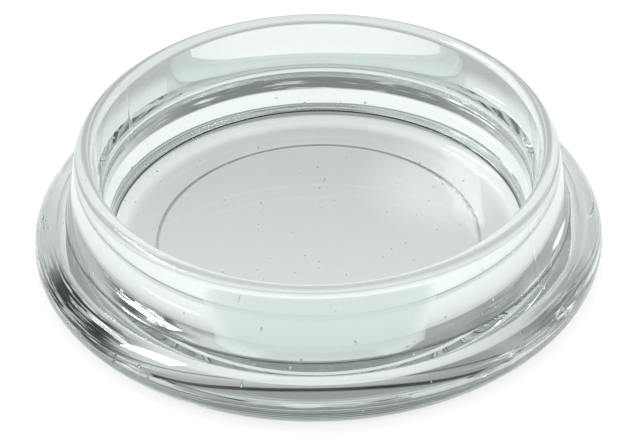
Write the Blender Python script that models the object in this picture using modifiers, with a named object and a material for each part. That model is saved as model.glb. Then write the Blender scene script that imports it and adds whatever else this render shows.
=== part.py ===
# Clear pressed-glass furniture coaster: a shallow round cup that a furniture foot or castor stands in.
# It is one turned solid. A collar with a rounded rim rises from a flange with a half-round edge.
# Metres, +Z up, origin on the axis at the plane that the coaster stands on.

import math

import bpy

# Driving sizes
outer_diameter = 0.0800       # over the flange
overall_height = 0.0183       # foot to the top of the rim
flange_edge_radius = 0.0034   # the flange is twice this thick
shoulder_run = 0.0013         # sloping shoulder between flange and collar, measured outwards
shoulder_rise = 0.0012        # the same shoulder, measured upwards
collar_lean = 0.0031          # how far the crest of the rim lies in from the collar's foot
rim_outer_radius = 0.0015     # rounding from the crest of the rim to the collar's outside
rim_inner_radius = 0.0012     # rounding from the crest of the rim to the cup's wall
cup_taper = 0.0021            # how far the cup's wall leans in between the rim and the floor
floor_thickness = 0.0030      # glass between the cup's floor and the plane of the foot
floor_rise = 0.0004           # upturned edge of the floor, measured upwards
floor_edge_width = 0.0020     # upturned edge of the floor, measured outwards
foot_width = 0.0136           # flat ring that touches the surface below
recess_depth = 0.0003         # shallow round recess inside the foot
recess_slope = 0.0002         # radial run of the recess's step

# Facets
turns = 96                    # steps round the axis
flange_steps = 14             # steps over the flange's half-round edge
rim_outer_steps = 8           # steps in the outer rounding of the rim
rim_inner_steps = 5           # steps in the inner rounding of the rim
floor_edge_steps = 4          # steps in the upturned edge of the floor

# Sizes that follow from those above
outer_radius = outer_diameter / 2
edge_centre_radius = outer_radius - flange_edge_radius
collar_foot_radius = edge_centre_radius - shoulder_run
collar_foot_height = 2 * flange_edge_radius + shoulder_rise
rim_crest_radius = collar_foot_radius - collar_lean
cup_floor_radius = rim_crest_radius - rim_inner_radius - cup_taper
recess_radius = edge_centre_radius - foot_width

# The glass, from the photograph
glass_colour = (0.86, 0.92, 0.915, 1.0)
glass_roughness = 0.02
glass_ior = 1.52

merge_distance = 0.00001


def arc(centre_radius, centre_height, radius, start, end, steps):
    """Points of a circular arc in the section plane; angles in degrees from the outward direction."""
    points = []
    for step in range(steps + 1):
        angle = math.radians(start + (end - start) * step / steps)
        r = centre_radius + radius * math.cos(angle)
        z = centre_height + radius * math.sin(angle)
        points.append((r, z))
    return points


def floor_edge():
    """The upturned edge of the floor, which starts level and ends at the foot of the cup's wall."""
    points = []
    for step in range(floor_edge_steps + 1):
        share = step / floor_edge_steps
        r = cup_floor_radius - floor_edge_width * (1 - share)
        z = floor_thickness + floor_rise * share ** 2
        points.append((r, z))
    return points


def rim():
    """The rim: its inner rounding, the crest, then its outer rounding down to where the collar leaves it."""
    outer_centre_height = overall_height - rim_outer_radius
    drop = outer_centre_height - collar_foot_height
    reach = math.hypot(collar_lean, drop)
    slant = math.degrees(math.acos(rim_outer_radius / reach) - math.atan2(drop, collar_lean))
    points = arc(rim_crest_radius, overall_height - rim_inner_radius, rim_inner_radius, 180, 90,
                 rim_inner_steps)
    points += arc(rim_crest_radius, outer_centre_height, rim_outer_radius, 90, slant, rim_outer_steps)[1:]
    return points


def section():
    """Half of the coaster's section, from the middle of the cup's floor over the rim to the underside."""
    points = [(0.0, floor_thickness)]
    points += floor_edge()
    points += rim()
    points.append((collar_foot_radius, collar_foot_height))
    points += arc(edge_centre_radius, flange_edge_radius, flange_edge_radius, 90, -90, flange_steps)
    points.append((recess_radius, 0.0))
    points.append((recess_radius - recess_slope, recess_depth))
    points.append((0.0, recess_depth))
    return points


def clear_scene():
    for old in list(bpy.data.objects):
        bpy.data.objects.remove(old)


def glass_material():
    material = bpy.data.materials.new("clear_glass")
    material.use_nodes = True
    shader = material.node_tree.nodes["Principled BSDF"]
    shader.inputs["Base Color"].default_value = glass_colour
    shader.inputs["Roughness"].default_value = glass_roughness
    shader.inputs["Metallic"].default_value = 0.0
    shader.inputs["IOR"].default_value = glass_ior
    shader.inputs["Transmission Weight"].default_value = 1.0
    return material


def turned_solid(name, outline, collection):
    """A solid turned about Z from a section that starts and ends on the axis."""
    vertices = [(r, 0.0, z) for r, z in outline]
    edges = [(index, index + 1) for index in range(len(outline) - 1)]
    mesh = bpy.data.meshes.new(name)
    mesh.from_pydata(vertices, edges, [])
    mesh.materials.append(glass_material())
    solid = bpy.data.objects.new(name, mesh)
    collection.objects.link(solid)
    screw = solid.modifiers.new("turn", "SCREW")
    screw.axis = "Z"
    screw.angle = math.tau
    screw.steps = turns
    screw.render_steps = turns
    screw.use_merge_vertices = True
    screw.merge_threshold = merge_distance
    screw.use_smooth_shade = True
    return solid


def build():
    clear_scene()
    coaster = bpy.data.collections.new("furniture_coaster")
    bpy.context.scene.collection.children.link(coaster)
    turned_solid("coaster_cup", section(), coaster)


build()
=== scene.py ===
import math
import random

import bmesh
import bpy
from mathutils import Matrix, Quaternion, Vector, noise


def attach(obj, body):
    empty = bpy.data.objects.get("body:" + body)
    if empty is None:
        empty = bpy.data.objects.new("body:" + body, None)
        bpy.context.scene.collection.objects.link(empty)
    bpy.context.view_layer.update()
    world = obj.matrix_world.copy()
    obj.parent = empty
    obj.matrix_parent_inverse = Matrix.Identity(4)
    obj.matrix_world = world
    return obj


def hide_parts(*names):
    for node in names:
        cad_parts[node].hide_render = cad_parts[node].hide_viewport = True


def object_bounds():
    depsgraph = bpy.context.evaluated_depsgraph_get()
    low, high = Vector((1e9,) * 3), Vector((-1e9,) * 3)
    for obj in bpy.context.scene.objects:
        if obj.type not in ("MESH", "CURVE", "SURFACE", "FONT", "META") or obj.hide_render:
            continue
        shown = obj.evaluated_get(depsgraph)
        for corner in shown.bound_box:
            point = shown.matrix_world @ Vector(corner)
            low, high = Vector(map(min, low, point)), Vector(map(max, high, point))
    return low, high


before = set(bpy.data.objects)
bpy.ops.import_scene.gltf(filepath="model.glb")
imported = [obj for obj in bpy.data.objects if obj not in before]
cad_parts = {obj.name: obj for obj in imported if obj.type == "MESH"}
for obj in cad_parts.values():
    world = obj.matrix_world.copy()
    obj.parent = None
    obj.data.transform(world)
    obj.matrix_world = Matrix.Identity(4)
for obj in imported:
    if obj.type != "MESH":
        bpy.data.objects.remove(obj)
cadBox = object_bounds()

mm = 0.001


def makeObject(name, bm, material):
    mesh = bpy.data.meshes.new(name)
    bm.to_mesh(mesh)
    bm.free()
    mesh.materials.append(material)
    piece = bpy.data.objects.new(name, mesh)
    bpy.context.scene.collection.objects.link(piece)
    return piece


class Wire:
    # the output of a node, which can be added, multiplied and sent on like a number
    def __init__(self, tree, socket):
        self.tree = tree
        self.socket = socket

    def feed(self, entry):
        self.tree.links.new(self.socket, entry)

    def node(self, kind, entry, output=0, values=None, **settings):
        # a new node that this wire enters, with its settings and the values or wires of its other sockets
        made = self.tree.nodes.new(kind)
        for name, value in settings.items():
            setattr(made, name, value)
        for name, value in (values or {}).items():
            if isinstance(value, Wire):
                value.feed(made.inputs[name])
            else:
                made.inputs[name].default_value = value
        self.feed(made.inputs[entry])
        return Wire(self.tree, made.outputs[output])

    def maths(self, kind, other, swapped=False):
        entry, rest = (1, 0) if swapped else (0, 1)
        return self.node("ShaderNodeMath", entry, values={rest: other}, operation=kind)

    def __add__(self, other):
        return self.maths("ADD", other)

    def __radd__(self, other):
        return self.maths("ADD", other, True)

    def __sub__(self, other):
        return self.maths("SUBTRACT", other)

    def __rsub__(self, other):
        return self.maths("SUBTRACT", other, True)

    def __mul__(self, other):
        return self.maths("MULTIPLY", other)

    def __rmul__(self, other):
        return self.maths("MULTIPLY", other, True)

    def __truediv__(self, other):
        return self.maths("DIVIDE", other)

    def __rtruediv__(self, other):
        return self.maths("DIVIDE", other, True)

    def ramp(self, low, high, start=0.0, end=1.0):
        # a smooth step from start to end while this runs from low to high
        return self.node("ShaderNodeMapRange", "Value", interpolation_type="SMOOTHSTEP",
                         values={"From Min": low, "From Max": high, "To Min": start, "To Max": end})

    def part(self, axis):
        return self.node("ShaderNodeSeparateXYZ", "Vector", axis)

    def length(self):
        return self.node("ShaderNodeVectorMath", 0, "Value", operation="LENGTH")

    def distance(self, place):
        return self.node("ShaderNodeVectorMath", 0, "Value", values={1: place}, operation="DISTANCE")

    def along(self, direction):
        return self.node("ShaderNodeVectorMath", 0, "Value", values={1: direction}, operation="DOT_PRODUCT")

    def noise(self, scale, detail):
        return self.node("ShaderNodeTexNoise", "Vector", "Fac", values={"Scale": scale, "Detail": detail})

    def scaled(self, factors):
        return self.node("ShaderNodeVectorMath", 0, values={1: factors}, operation="MULTIPLY")


def coordinates(tree, output="Object"):
    source = tree.nodes.new("ShaderNodeTexCoord")
    return Wire(tree, source.outputs[output])


# The section of the glass: its sizes, the rounding of its corners and how fine its mesh is
cup = {
    "floorThickness": 3.0 * mm,
    "floorRise": 0.4 * mm,
    "floorEdgeWidth": 2.0 * mm,
    "floorRadius": 28.9 * mm,
    "wallTop": 31.1 * mm,
    "crestOuter": 33.46 * mm,
    "rimInnerRounding": 1.2 * mm,
    "rimOuterRounding": 1.5 * mm,
    "collarFoot": (35.3 * mm, 8.0 * mm),
    "flangeTop": 36.6 * mm,
    "flangeRounding": 3.4 * mm,
    "recessRadius": 23.0 * mm,
    "recessDepth": 0.2 * mm,
    "recessSlope": 0.6 * mm,
    "creaseRounding": 0.3 * mm,
    "floorRounding": 4.5 * mm,
    "smallRounding": 0.15 * mm,
    "longestStretch": 1.2 * mm,
    "arcLength": 0.11 * mm,
    "fewestArcSteps": 3,
    "spinSteps": 360,
    "weldDistance": 0.001 * mm,
}

# Fine fins that the mould leaves: two upright ones on opposite sides and a broken one round the flange
seams = {
    "bearings": (math.radians(-33), math.radians(147)),
    "height": 0.05 * mm,
    "halfWidth": 0.16 * mm,
    "lowest": 0.5 * mm,
    "ringHeight": 4.3 * mm,
    "ringHalfHeight": 0.22 * mm,
    "breakSize": 5.0 * mm,
    "breakMiddle": 0.5,
    "breakContrast": 2,
    "gatherAngle": math.radians(6),
    "gather": 0.8,
}

# The slight unevenness of the whole surface, apart from the ring that the cup stands on
waves = {
    "coarseSize": 7.0 * mm,
    "coarseDepth": 0.014 * mm,
    "fineSize": 2.2 * mm,
    "fineDepth": 0.0005 * mm,
    "fineShift": Vector((7, 3, 5)),
    "footBand": 0.01 * mm,
}

# Streaks on the flange where the cooling glass folded: each patch has a bearing and a spread
wrinkles = {
    "patches": ((math.radians(200), math.radians(24)), (math.radians(-42), math.radians(12))),
    "heights": (3.6 * mm, 6.6 * mm),
    "along": 9.0,
    "across": 0.45 * mm,
    "depth": 0.07 * mm,
}

# Painted shade in the glass's colour, standing in for the dark it refracts: in a band round the flange's
# edge, most at the back, in streaky patches there, at the corner of the cup's floor and in the crease of the
# collar
paintedShade = {
    "bandHeights": (2.1 * mm, 2.5 * mm, 4.2 * mm, 4.6 * mm),
    "bandStreak": (0.2, 0.45),
    "bandTurn": (0.2, 0.9),
    "bandShare": (0.35, 0.96),
    "patches": (
        (math.radians(212), math.radians(24), math.radians(8), 1.0),
        (math.radians(-30), math.radians(16), math.radians(4), 0.6),
    ),
    "patchHeights": (3.0 * mm, 4.0 * mm),
    "patchStreak": (0.41, 0.49),
    "cornerHeights": (3.34 * mm, 3.42 * mm, 3.58 * mm, 3.66 * mm),
    "cornerReach": (-0.3 * mm, -0.1 * mm, 0.2 * mm, 0.4 * mm),
    "creaseHeights": (7.75 * mm, 7.92 * mm, 8.12 * mm, 8.3 * mm),
    "creaseShare": 0.85,
    "alongSize": 8.0 * mm,
    "acrossSize": 0.4 * mm,
    "streakDetail": 3.0,
    "blend": 1.0 * mm,
    "clear": (0.865, 0.925, 0.915, 1),
    "grey": (0.0015, 0.003, 0.0035, 1),
}

glass = {
    "ior": 1.52,
    "depthColour": (0.55, 0.8, 0.78, 1),
    "depthDensity": 3.0,
    "grainScale": 900.0,
    "grainDetail": 4.0,
    "grainRange": (0.5, 0.8),
    "grainRoughness": 0.006,
}

# Small bubbles left in the glass
seeds = {
    "count": 120,
    "smallest": 0.08 * mm,
    "largest": 0.22 * mm,
    "lowest": 0.7 * mm,
    "highest": 2.6 * mm,
    "flattening": 0.3,
    "start": 11,
}


def inBand(value, edges):
    # 1 between the two middle edges, 0 outside the two outer ones
    foot, low, high, top = edges
    return value.ramp(foot, low) * value.ramp(high, top, 1, 0)


# The clear glass colour with painted shade mixed in towards grey
def shadePaintedColour(place):
    height = place.part(2)
    flat = place.scaled((1, 1, 0))
    reach = flat.length()
    streakPlace = (flat.part(0) / paintedShade["alongSize"]).node("ShaderNodeCombineXYZ", "X", values={
        "Y": flat.part(1) / paintedShade["alongSize"], "Z": (reach - height) / paintedShade["acrossSize"]})
    streak = streakPlace.noise(1.0, paintedShade["streakDetail"])
    # painted shade in a streaky band round the flange's edge, and in patches
    band = inBand(height, paintedShade["bandHeights"]) * streak.ramp(*paintedShade["bandStreak"])
    share = band * (flat.part(1) / reach).ramp(*paintedShade["bandTurn"], *paintedShade["bandShare"])
    patchStreak = streak.ramp(*paintedShade["patchStreak"])
    for middle, wide, narrow, strength in paintedShade["patches"]:
        away = flat.along((math.cos(middle), math.sin(middle), 0)) / reach
        patch = away.ramp(math.cos(wide), math.cos(narrow)) * height.ramp(*paintedShade["patchHeights"])
        share = share.maths("MAXIMUM", patch * patchStreak * strength)
    onEdge = reach.ramp(cup["flangeTop"], cup["flangeTop"] + paintedShade["blend"])
    onCollar = reach.ramp(cup["crestOuter"], cup["crestOuter"] + paintedShade["blend"])
    # painted shade at the corner of the cup's floor and in the crease of the collar
    onWall = inBand(reach - cup["floorRadius"], paintedShade["cornerReach"])
    corner = inBand(height, paintedShade["cornerHeights"]) * onWall
    crease = inBand(height, paintedShade["creaseHeights"]) * onCollar * paintedShade["creaseShare"]
    share = (share * onEdge).maths("MAXIMUM", corner).maths("MAXIMUM", crease)
    return share.node("ShaderNodeMix", "Factor", 2, data_type="RGBA",
                      values={6: paintedShade["clear"], 7: paintedShade["grey"]})


def glassMaterial():
    material = bpy.data.materials.new("pressedGlass")
    material.use_nodes = True
    tree = material.node_tree
    shader = tree.nodes["Principled BSDF"]
    shader.inputs["IOR"].default_value = glass["ior"]
    shader.inputs["Transmission Weight"].default_value = 1.0
    place = coordinates(tree)
    # the base colour carries the painted shade
    shadePaintedColour(place).feed(shader.inputs["Base Color"])
    grain = place.noise(glass["grainScale"], glass["grainDetail"]).ramp(*glass["grainRange"])
    (grain * glass["grainRoughness"]).feed(shader.inputs["Roughness"])
    absorb = tree.nodes.new("ShaderNodeVolumeAbsorption")
    absorb.inputs["Color"].default_value = glass["depthColour"]
    absorb.inputs["Density"].default_value = glass["depthDensity"]
    tree.links.new(absorb.outputs["Volume"], tree.nodes["Material Output"].inputs["Volume"])
    return material


def addPoint(bm, last, r, z):
    point = bm.verts.new((r, 0, z))
    if last:
        bm.edges.new((last, point))
    return point


def cornerPoints(before, corner, after, rounding):
    # the corner itself, or the arc that rounds it
    if rounding == 0:
        return [corner]
    into = (before - corner).normalized()
    out = (after - corner).normalized()
    half = into.angle(out) / 2
    middle = corner + (into + out).normalized() * rounding / math.sin(half)
    start = corner + into * rounding / math.tan(half) - middle
    turn = out.angle_signed(-into)
    steps = max(cup["fewestArcSteps"], math.ceil(abs(turn) * rounding / cup["arcLength"]))
    return [middle + Matrix.Rotation(turn * step / steps, 2) @ start for step in range(steps + 1)]


def cupCorners():
    # radius, height and rounding of each corner, from the middle of the cup's floor to that of the underside
    top = cadBox[1][2]
    outer = cadBox[1][0]
    collar = cup["collarFoot"]
    flangeTop = 2 * cup["flangeRounding"]
    return [
        (0, cup["floorThickness"], 0),
        (cup["floorRadius"] - cup["floorEdgeWidth"] / 2, cup["floorThickness"], cup["floorRounding"]),
        (cup["floorRadius"], cup["floorThickness"] + cup["floorRise"], cup["smallRounding"]),
        (cup["wallTop"], top, cup["rimInnerRounding"]),
        (cup["crestOuter"], top, cup["rimOuterRounding"]),
        (collar[0], collar[1], cup["creaseRounding"]),
        (cup["flangeTop"], flangeTop, cup["smallRounding"]),
        (outer, flangeTop, cup["flangeRounding"]),
        (outer, 0, cup["flangeRounding"]),
        (cup["recessRadius"], 0, cup["creaseRounding"]),
        (cup["recessRadius"] - cup["recessSlope"], cup["recessDepth"], cup["creaseRounding"]),
        (0, cup["recessDepth"], 0),
    ]


def cupSection(bm):
    corners = [(Vector((r, z)), rounding) for r, z, rounding in cupCorners()]
    last = None
    for index, (corner, rounding) in enumerate(corners):
        before = corners[max(index - 1, 0)][0]
        after = corners[min(index + 1, len(corners) - 1)][0]
        for r, z in cornerPoints(before, corner, after, rounding):
            last = addPoint(bm, last, r, z)
    long = [edge for edge in bm.edges if edge.calc_length() > cup["longestStretch"]]
    for edge in long:
        cuts = math.ceil(edge.calc_length() / cup["longestStretch"]) - 1
        bmesh.ops.subdivide_edges(bm, edges=[edge], cuts=cuts)


def seamShare(point):
    # 1 on the middle of a fin, 0 away from it
    bearing = math.atan2(point.y, point.x)
    reach = math.hypot(point.x, point.y)
    share = 0
    for seam in seams["bearings"]:
        offset = reach * math.sin(bearing - seam)
        if math.cos(bearing - seam) > 0:
            share = max(share, 1 - abs(offset) / seams["halfWidth"])
    if reach > cup["flangeTop"]:
        broken = seams["breakMiddle"] + noise.noise(point / seams["breakSize"]) * seams["breakContrast"]
        ring = 1 - abs(point.z - seams["ringHeight"]) / seams["ringHalfHeight"]
        share = max(share, ring * min(max(broken, 0), 1))
    return max(share, 0)


def gatherToSeams(bm):
    # draws the upright lines of vertices together at each seam, so that a narrow fin has enough of them
    for vertex in bm.verts:
        bearing = math.atan2(vertex.co.y, vertex.co.x)
        shift = 0
        for seam in seams["bearings"]:
            away = math.remainder(bearing - seam, math.tau)
            near = 1 - min(abs(away) / seams["gatherAngle"], 1)
            shift -= away * near * seams["gather"]
        vertex.co = Matrix.Rotation(shift, 3, "Z") @ vertex.co


def isOutside(point):
    innermost = cup["crestOuter"] - cup["rimOuterRounding"]
    return math.hypot(point.x, point.y) > innermost and point.z > seams["lowest"]


def unevenness(point):
    coarse = noise.noise(point / waves["coarseSize"]) * waves["coarseDepth"]
    fine = noise.noise(point / waves["fineSize"] + waves["fineShift"]) * waves["fineDepth"]
    return coarse + fine


def wrinkle(point):
    bearing = math.atan2(point.y, point.x)
    reach = math.hypot(point.x, point.y)
    low, high = wrinkles["heights"]
    if reach < cup["flangeTop"] or not low < point.z < high:
        return 0
    share = (point.z - low) * (high - point.z) * 4 / (high - low) ** 2  # 1 halfway up, 0 at both ends
    patch = 0
    for middle, spread in wrinkles["patches"]:
        away = math.remainder(bearing - middle, math.tau) / spread
        patch += max(0, 1 - away ** 2)
    streak = noise.noise(Vector((bearing * wrinkles["along"], (reach - point.z) / wrinkles["across"], 0)))
    return share * patch * streak * wrinkles["depth"]


def roughenSurface(bm):
    # everything first sinks by the height of the waves and the fins, to stay inside the solid's box
    bm.normal_update()
    moves = []
    for vertex in bm.verts:
        move = unevenness(vertex.co) + wrinkle(vertex.co)
        move = move - waves["coarseDepth"] - waves["fineDepth"] - seams["height"]
        if isOutside(vertex.co):
            move += seamShare(vertex.co) * seams["height"]
        if vertex.co.z < waves["footBand"]:
            move = 0
        moves.append(vertex.normal * move)
    for vertex, move in zip(bm.verts, moves):
        vertex.co += move


def addSeeds(bm):
    chance = random.Random(seeds["start"])
    for _ in range(seeds["count"]):
        bearing = chance.uniform(0, math.tau)
        reach = cup["flangeTop"] * math.sqrt(chance.random())
        height = chance.uniform(seeds["lowest"], seeds["highest"])
        size = chance.uniform(seeds["smallest"], seeds["largest"])
        place = Matrix.Translation((reach * math.cos(bearing), reach * math.sin(bearing), height))
        stretch = Matrix.Diagonal((1, 1, 1 - seeds["flattening"] * chance.random(), 1))
        made = bmesh.ops.create_icosphere(bm, subdivisions=2, radius=size, matrix=place @ stretch)
        shell = {face for vertex in made["verts"] for face in vertex.link_faces}
        bmesh.ops.reverse_faces(bm, faces=list(shell))


def makeCup():
    bm = bmesh.new()
    cupSection(bm)
    print("glass: section of", len(bm.verts), "points")
    bmesh.ops.spin(bm, geom=bm.verts[:] + bm.edges[:], cent=(0, 0, 0), axis=(0, 0, 1),
                   angle=math.tau, steps=cup["spinSteps"], use_merge=True)
    bmesh.ops.remove_doubles(bm, verts=bm.verts[:], dist=cup["weldDistance"])
    bmesh.ops.recalc_face_normals(bm, faces=bm.faces[:])
    print("glass: turned")
    gatherToSeams(bm)
    roughenSurface(bm)
    print("glass: seams, waves and streaks")
    addSeeds(bm)
    for face in bm.faces:
        face.smooth = True
    piece = makeObject("coasterGlass", bm, glassMaterial())
    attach(piece, "root")
    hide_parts("coaster_cup")
    print("glass:", len(piece.data.polygons), "faces")


# The camera looks along +Y, down at the cup, from the photograph's angle
view = {
    "elevation": math.radians(37.06),
    "distance": 435.6 * mm,
    "aim": (0.25 * mm, 1.2 * mm, 3.4 * mm),
    "roll": math.radians(-1.146),
    "lens": 173.65,
    "sensorWidth": 36,
    "clipStart": 10 * mm,
}

# A pale floor that glows softly. Painted shadow under the cup, in lighter and darker rings and a slope, a
# painted pool of light and painted shade far behind give the glass its bands
floor = {
    "depth": -0.02 * mm,
    "size": 3.0,
    "colour": (0.05, 0.05, 0.05, 1),
    "roughness": 0.8,
    "beneathLevel": 0.73,
    "rings": (
        (26.5 * mm, 28.5 * mm, 0.22),
        (31.5 * mm, 34.5 * mm, -0.35),
        (36.0 * mm, 39.0 * mm, 0.30),
        (38.5 * mm, 42.0 * mm, 0.14),
    ),
    "slopeReach": 30.0 * mm,
    "slopeLevels": (0.14, -0.06),
    "slopeRadii": (34.0 * mm, 38.0 * mm),
    "fadeRadii": (75.0 * mm, 260.0 * mm),
    "fadeTurn": (-0.6, 1.0),
    "fadeLevel": 0.45,
    "glowPlace": (19.0 * mm, 13.0 * mm, 0.0),
    "glowRadii": (4.0 * mm, 15.0 * mm),
    "glowLevel": 0.17,
}

# An even sky with soft lobes: bearing, elevation, the angles where each is full and where it ends, and its
# change of level. Bearing 0 is towards the camera and 90 is to its right, all in degrees
sky = {
    "level": 0.60,
    "lobes": (
        (-90, 60, 10, 70, 0.12),
        (180, 35, 25, 60, -0.26),
        (70, 30, 10, 45, -0.26),
        (0, 44, 22, 25, -0.58),
        (0, 8, 20, 40, 0.10),
        (120, 12, 7, 10, 0.9),
        (150, 30, 5, 8, 0.9),
    ),
}

# The soft box that the bright marks on the glass come from
softBox = {
    "bearing": -100,
    "elevation": 47,
    "reach": 0.5,
    "size": (0.24, 0.08),
    "level": 13.0,
}

look = {
    "transform": "Standard",
    "bounces": 40,
}


def makeCamera():
    data = bpy.data.cameras.new("camera")
    data.lens = view["lens"]
    data.sensor_width = view["sensorWidth"]
    data.clip_start = view["clipStart"]
    camera = bpy.data.objects.new("camera", data)
    bpy.context.scene.collection.objects.link(camera)
    reach = view["distance"]
    camera.location = (0, -reach * math.cos(view["elevation"]),
                       view["aim"][2] + reach * math.sin(view["elevation"]))
    towards = (Vector(view["aim"]) - camera.location).to_track_quat("-Z", "Y")
    camera.rotation_mode = "QUATERNION"
    camera.rotation_quaternion = towards @ Quaternion((0, 0, 1), view["roll"])
    bpy.context.scene.camera = camera
    print("camera: set")


def floorMaterial():
    material = bpy.data.materials.new("paleFloor")
    material.use_nodes = True
    tree = material.node_tree
    shader = tree.nodes["Principled BSDF"]
    shader.inputs["Base Color"].default_value = floor["colour"]
    shader.inputs["Roughness"].default_value = floor["roughness"]
    shader.inputs["Specular IOR Level"].default_value = 0.0
    shader.inputs["Emission Strength"].default_value = 1.0
    place = coordinates(tree)
    reach = place.length()
    # painted shadow under the cup: a low level beneath, tilted by a slope and stepped by the rings
    slope = place.part(1).ramp(-floor["slopeReach"], floor["slopeReach"], *floor["slopeLevels"])
    level = floor["beneathLevel"] + slope * reach.ramp(*floor["slopeRadii"], 1, 0)
    for inner, outer, change in floor["rings"]:
        level = level + reach.ramp(inner, outer, 0, change)
    # painted shade fading in far behind the cup
    behind = (place.part(1) / reach).ramp(*floor["fadeTurn"])
    fade = reach.ramp(*floor["fadeRadii"]) * behind * floor["fadeLevel"]
    # a painted pool of light under the cup, where the glass would gather light
    glow = place.distance(floor["glowPlace"]).ramp(*floor["glowRadii"], floor["glowLevel"], 0)
    (level + glow - fade).feed(shader.inputs["Emission Color"])
    return material


def makeFloor():
    bm = bmesh.new()
    bmesh.ops.create_grid(bm, x_segments=1, y_segments=1, size=floor["size"])
    bmesh.ops.translate(bm, verts=bm.verts[:], vec=(0, 0, floor["depth"]))
    makeObject("floor", bm, floorMaterial())
    print("floor: laid")


def direction(bearing, elevation):
    side = math.radians(bearing)
    up = math.radians(elevation)
    return (math.sin(side) * math.cos(up), -math.cos(side) * math.cos(up), math.sin(up))


def makeWorld():
    world = bpy.data.worlds.new("studio")
    world.use_nodes = True
    tree = world.node_tree
    ray = coordinates(tree, "Generated")
    level = sky["level"]
    for bearing, elevation, narrow, wide, change in sky["lobes"]:
        nearness = ray.along(direction(bearing, elevation))
        ends = (math.cos(math.radians(wide)), math.cos(math.radians(narrow)))
        level = level + nearness.ramp(*ends, 0, change)
    level.feed(tree.nodes["Background"].inputs["Color"])
    bpy.context.scene.world = world
    print("sky: lit")


def makeBox():
    data = bpy.data.lights.new("softBox", "AREA")
    data.shape = "RECTANGLE"
    data.size, data.size_y = softBox["size"]
    data.energy = math.pi * data.size * data.size_y * softBox["level"]
    box = bpy.data.objects.new("softBox", data)
    bpy.context.scene.collection.objects.link(box)
    towards = Vector(direction(softBox["bearing"], softBox["elevation"]))
    box.location = towards * softBox["reach"]
    box.rotation_mode = "QUATERNION"
    box.rotation_quaternion = towards.to_track_quat("Z", "Y")
    box.visible_camera = False
    print("soft box: hung")


def makeLook():
    scene = bpy.context.scene
    scene.view_settings.view_transform = look["transform"]
    scene.cycles.max_bounces = look["bounces"]
    scene.cycles.transmission_bounces = look["bounces"]
    scene.cycles.glossy_bounces = look["bounces"]
    print("look: set")


makeCamera()
makeWorld()
makeFloor()
makeBox()
makeLook()
makeCup()
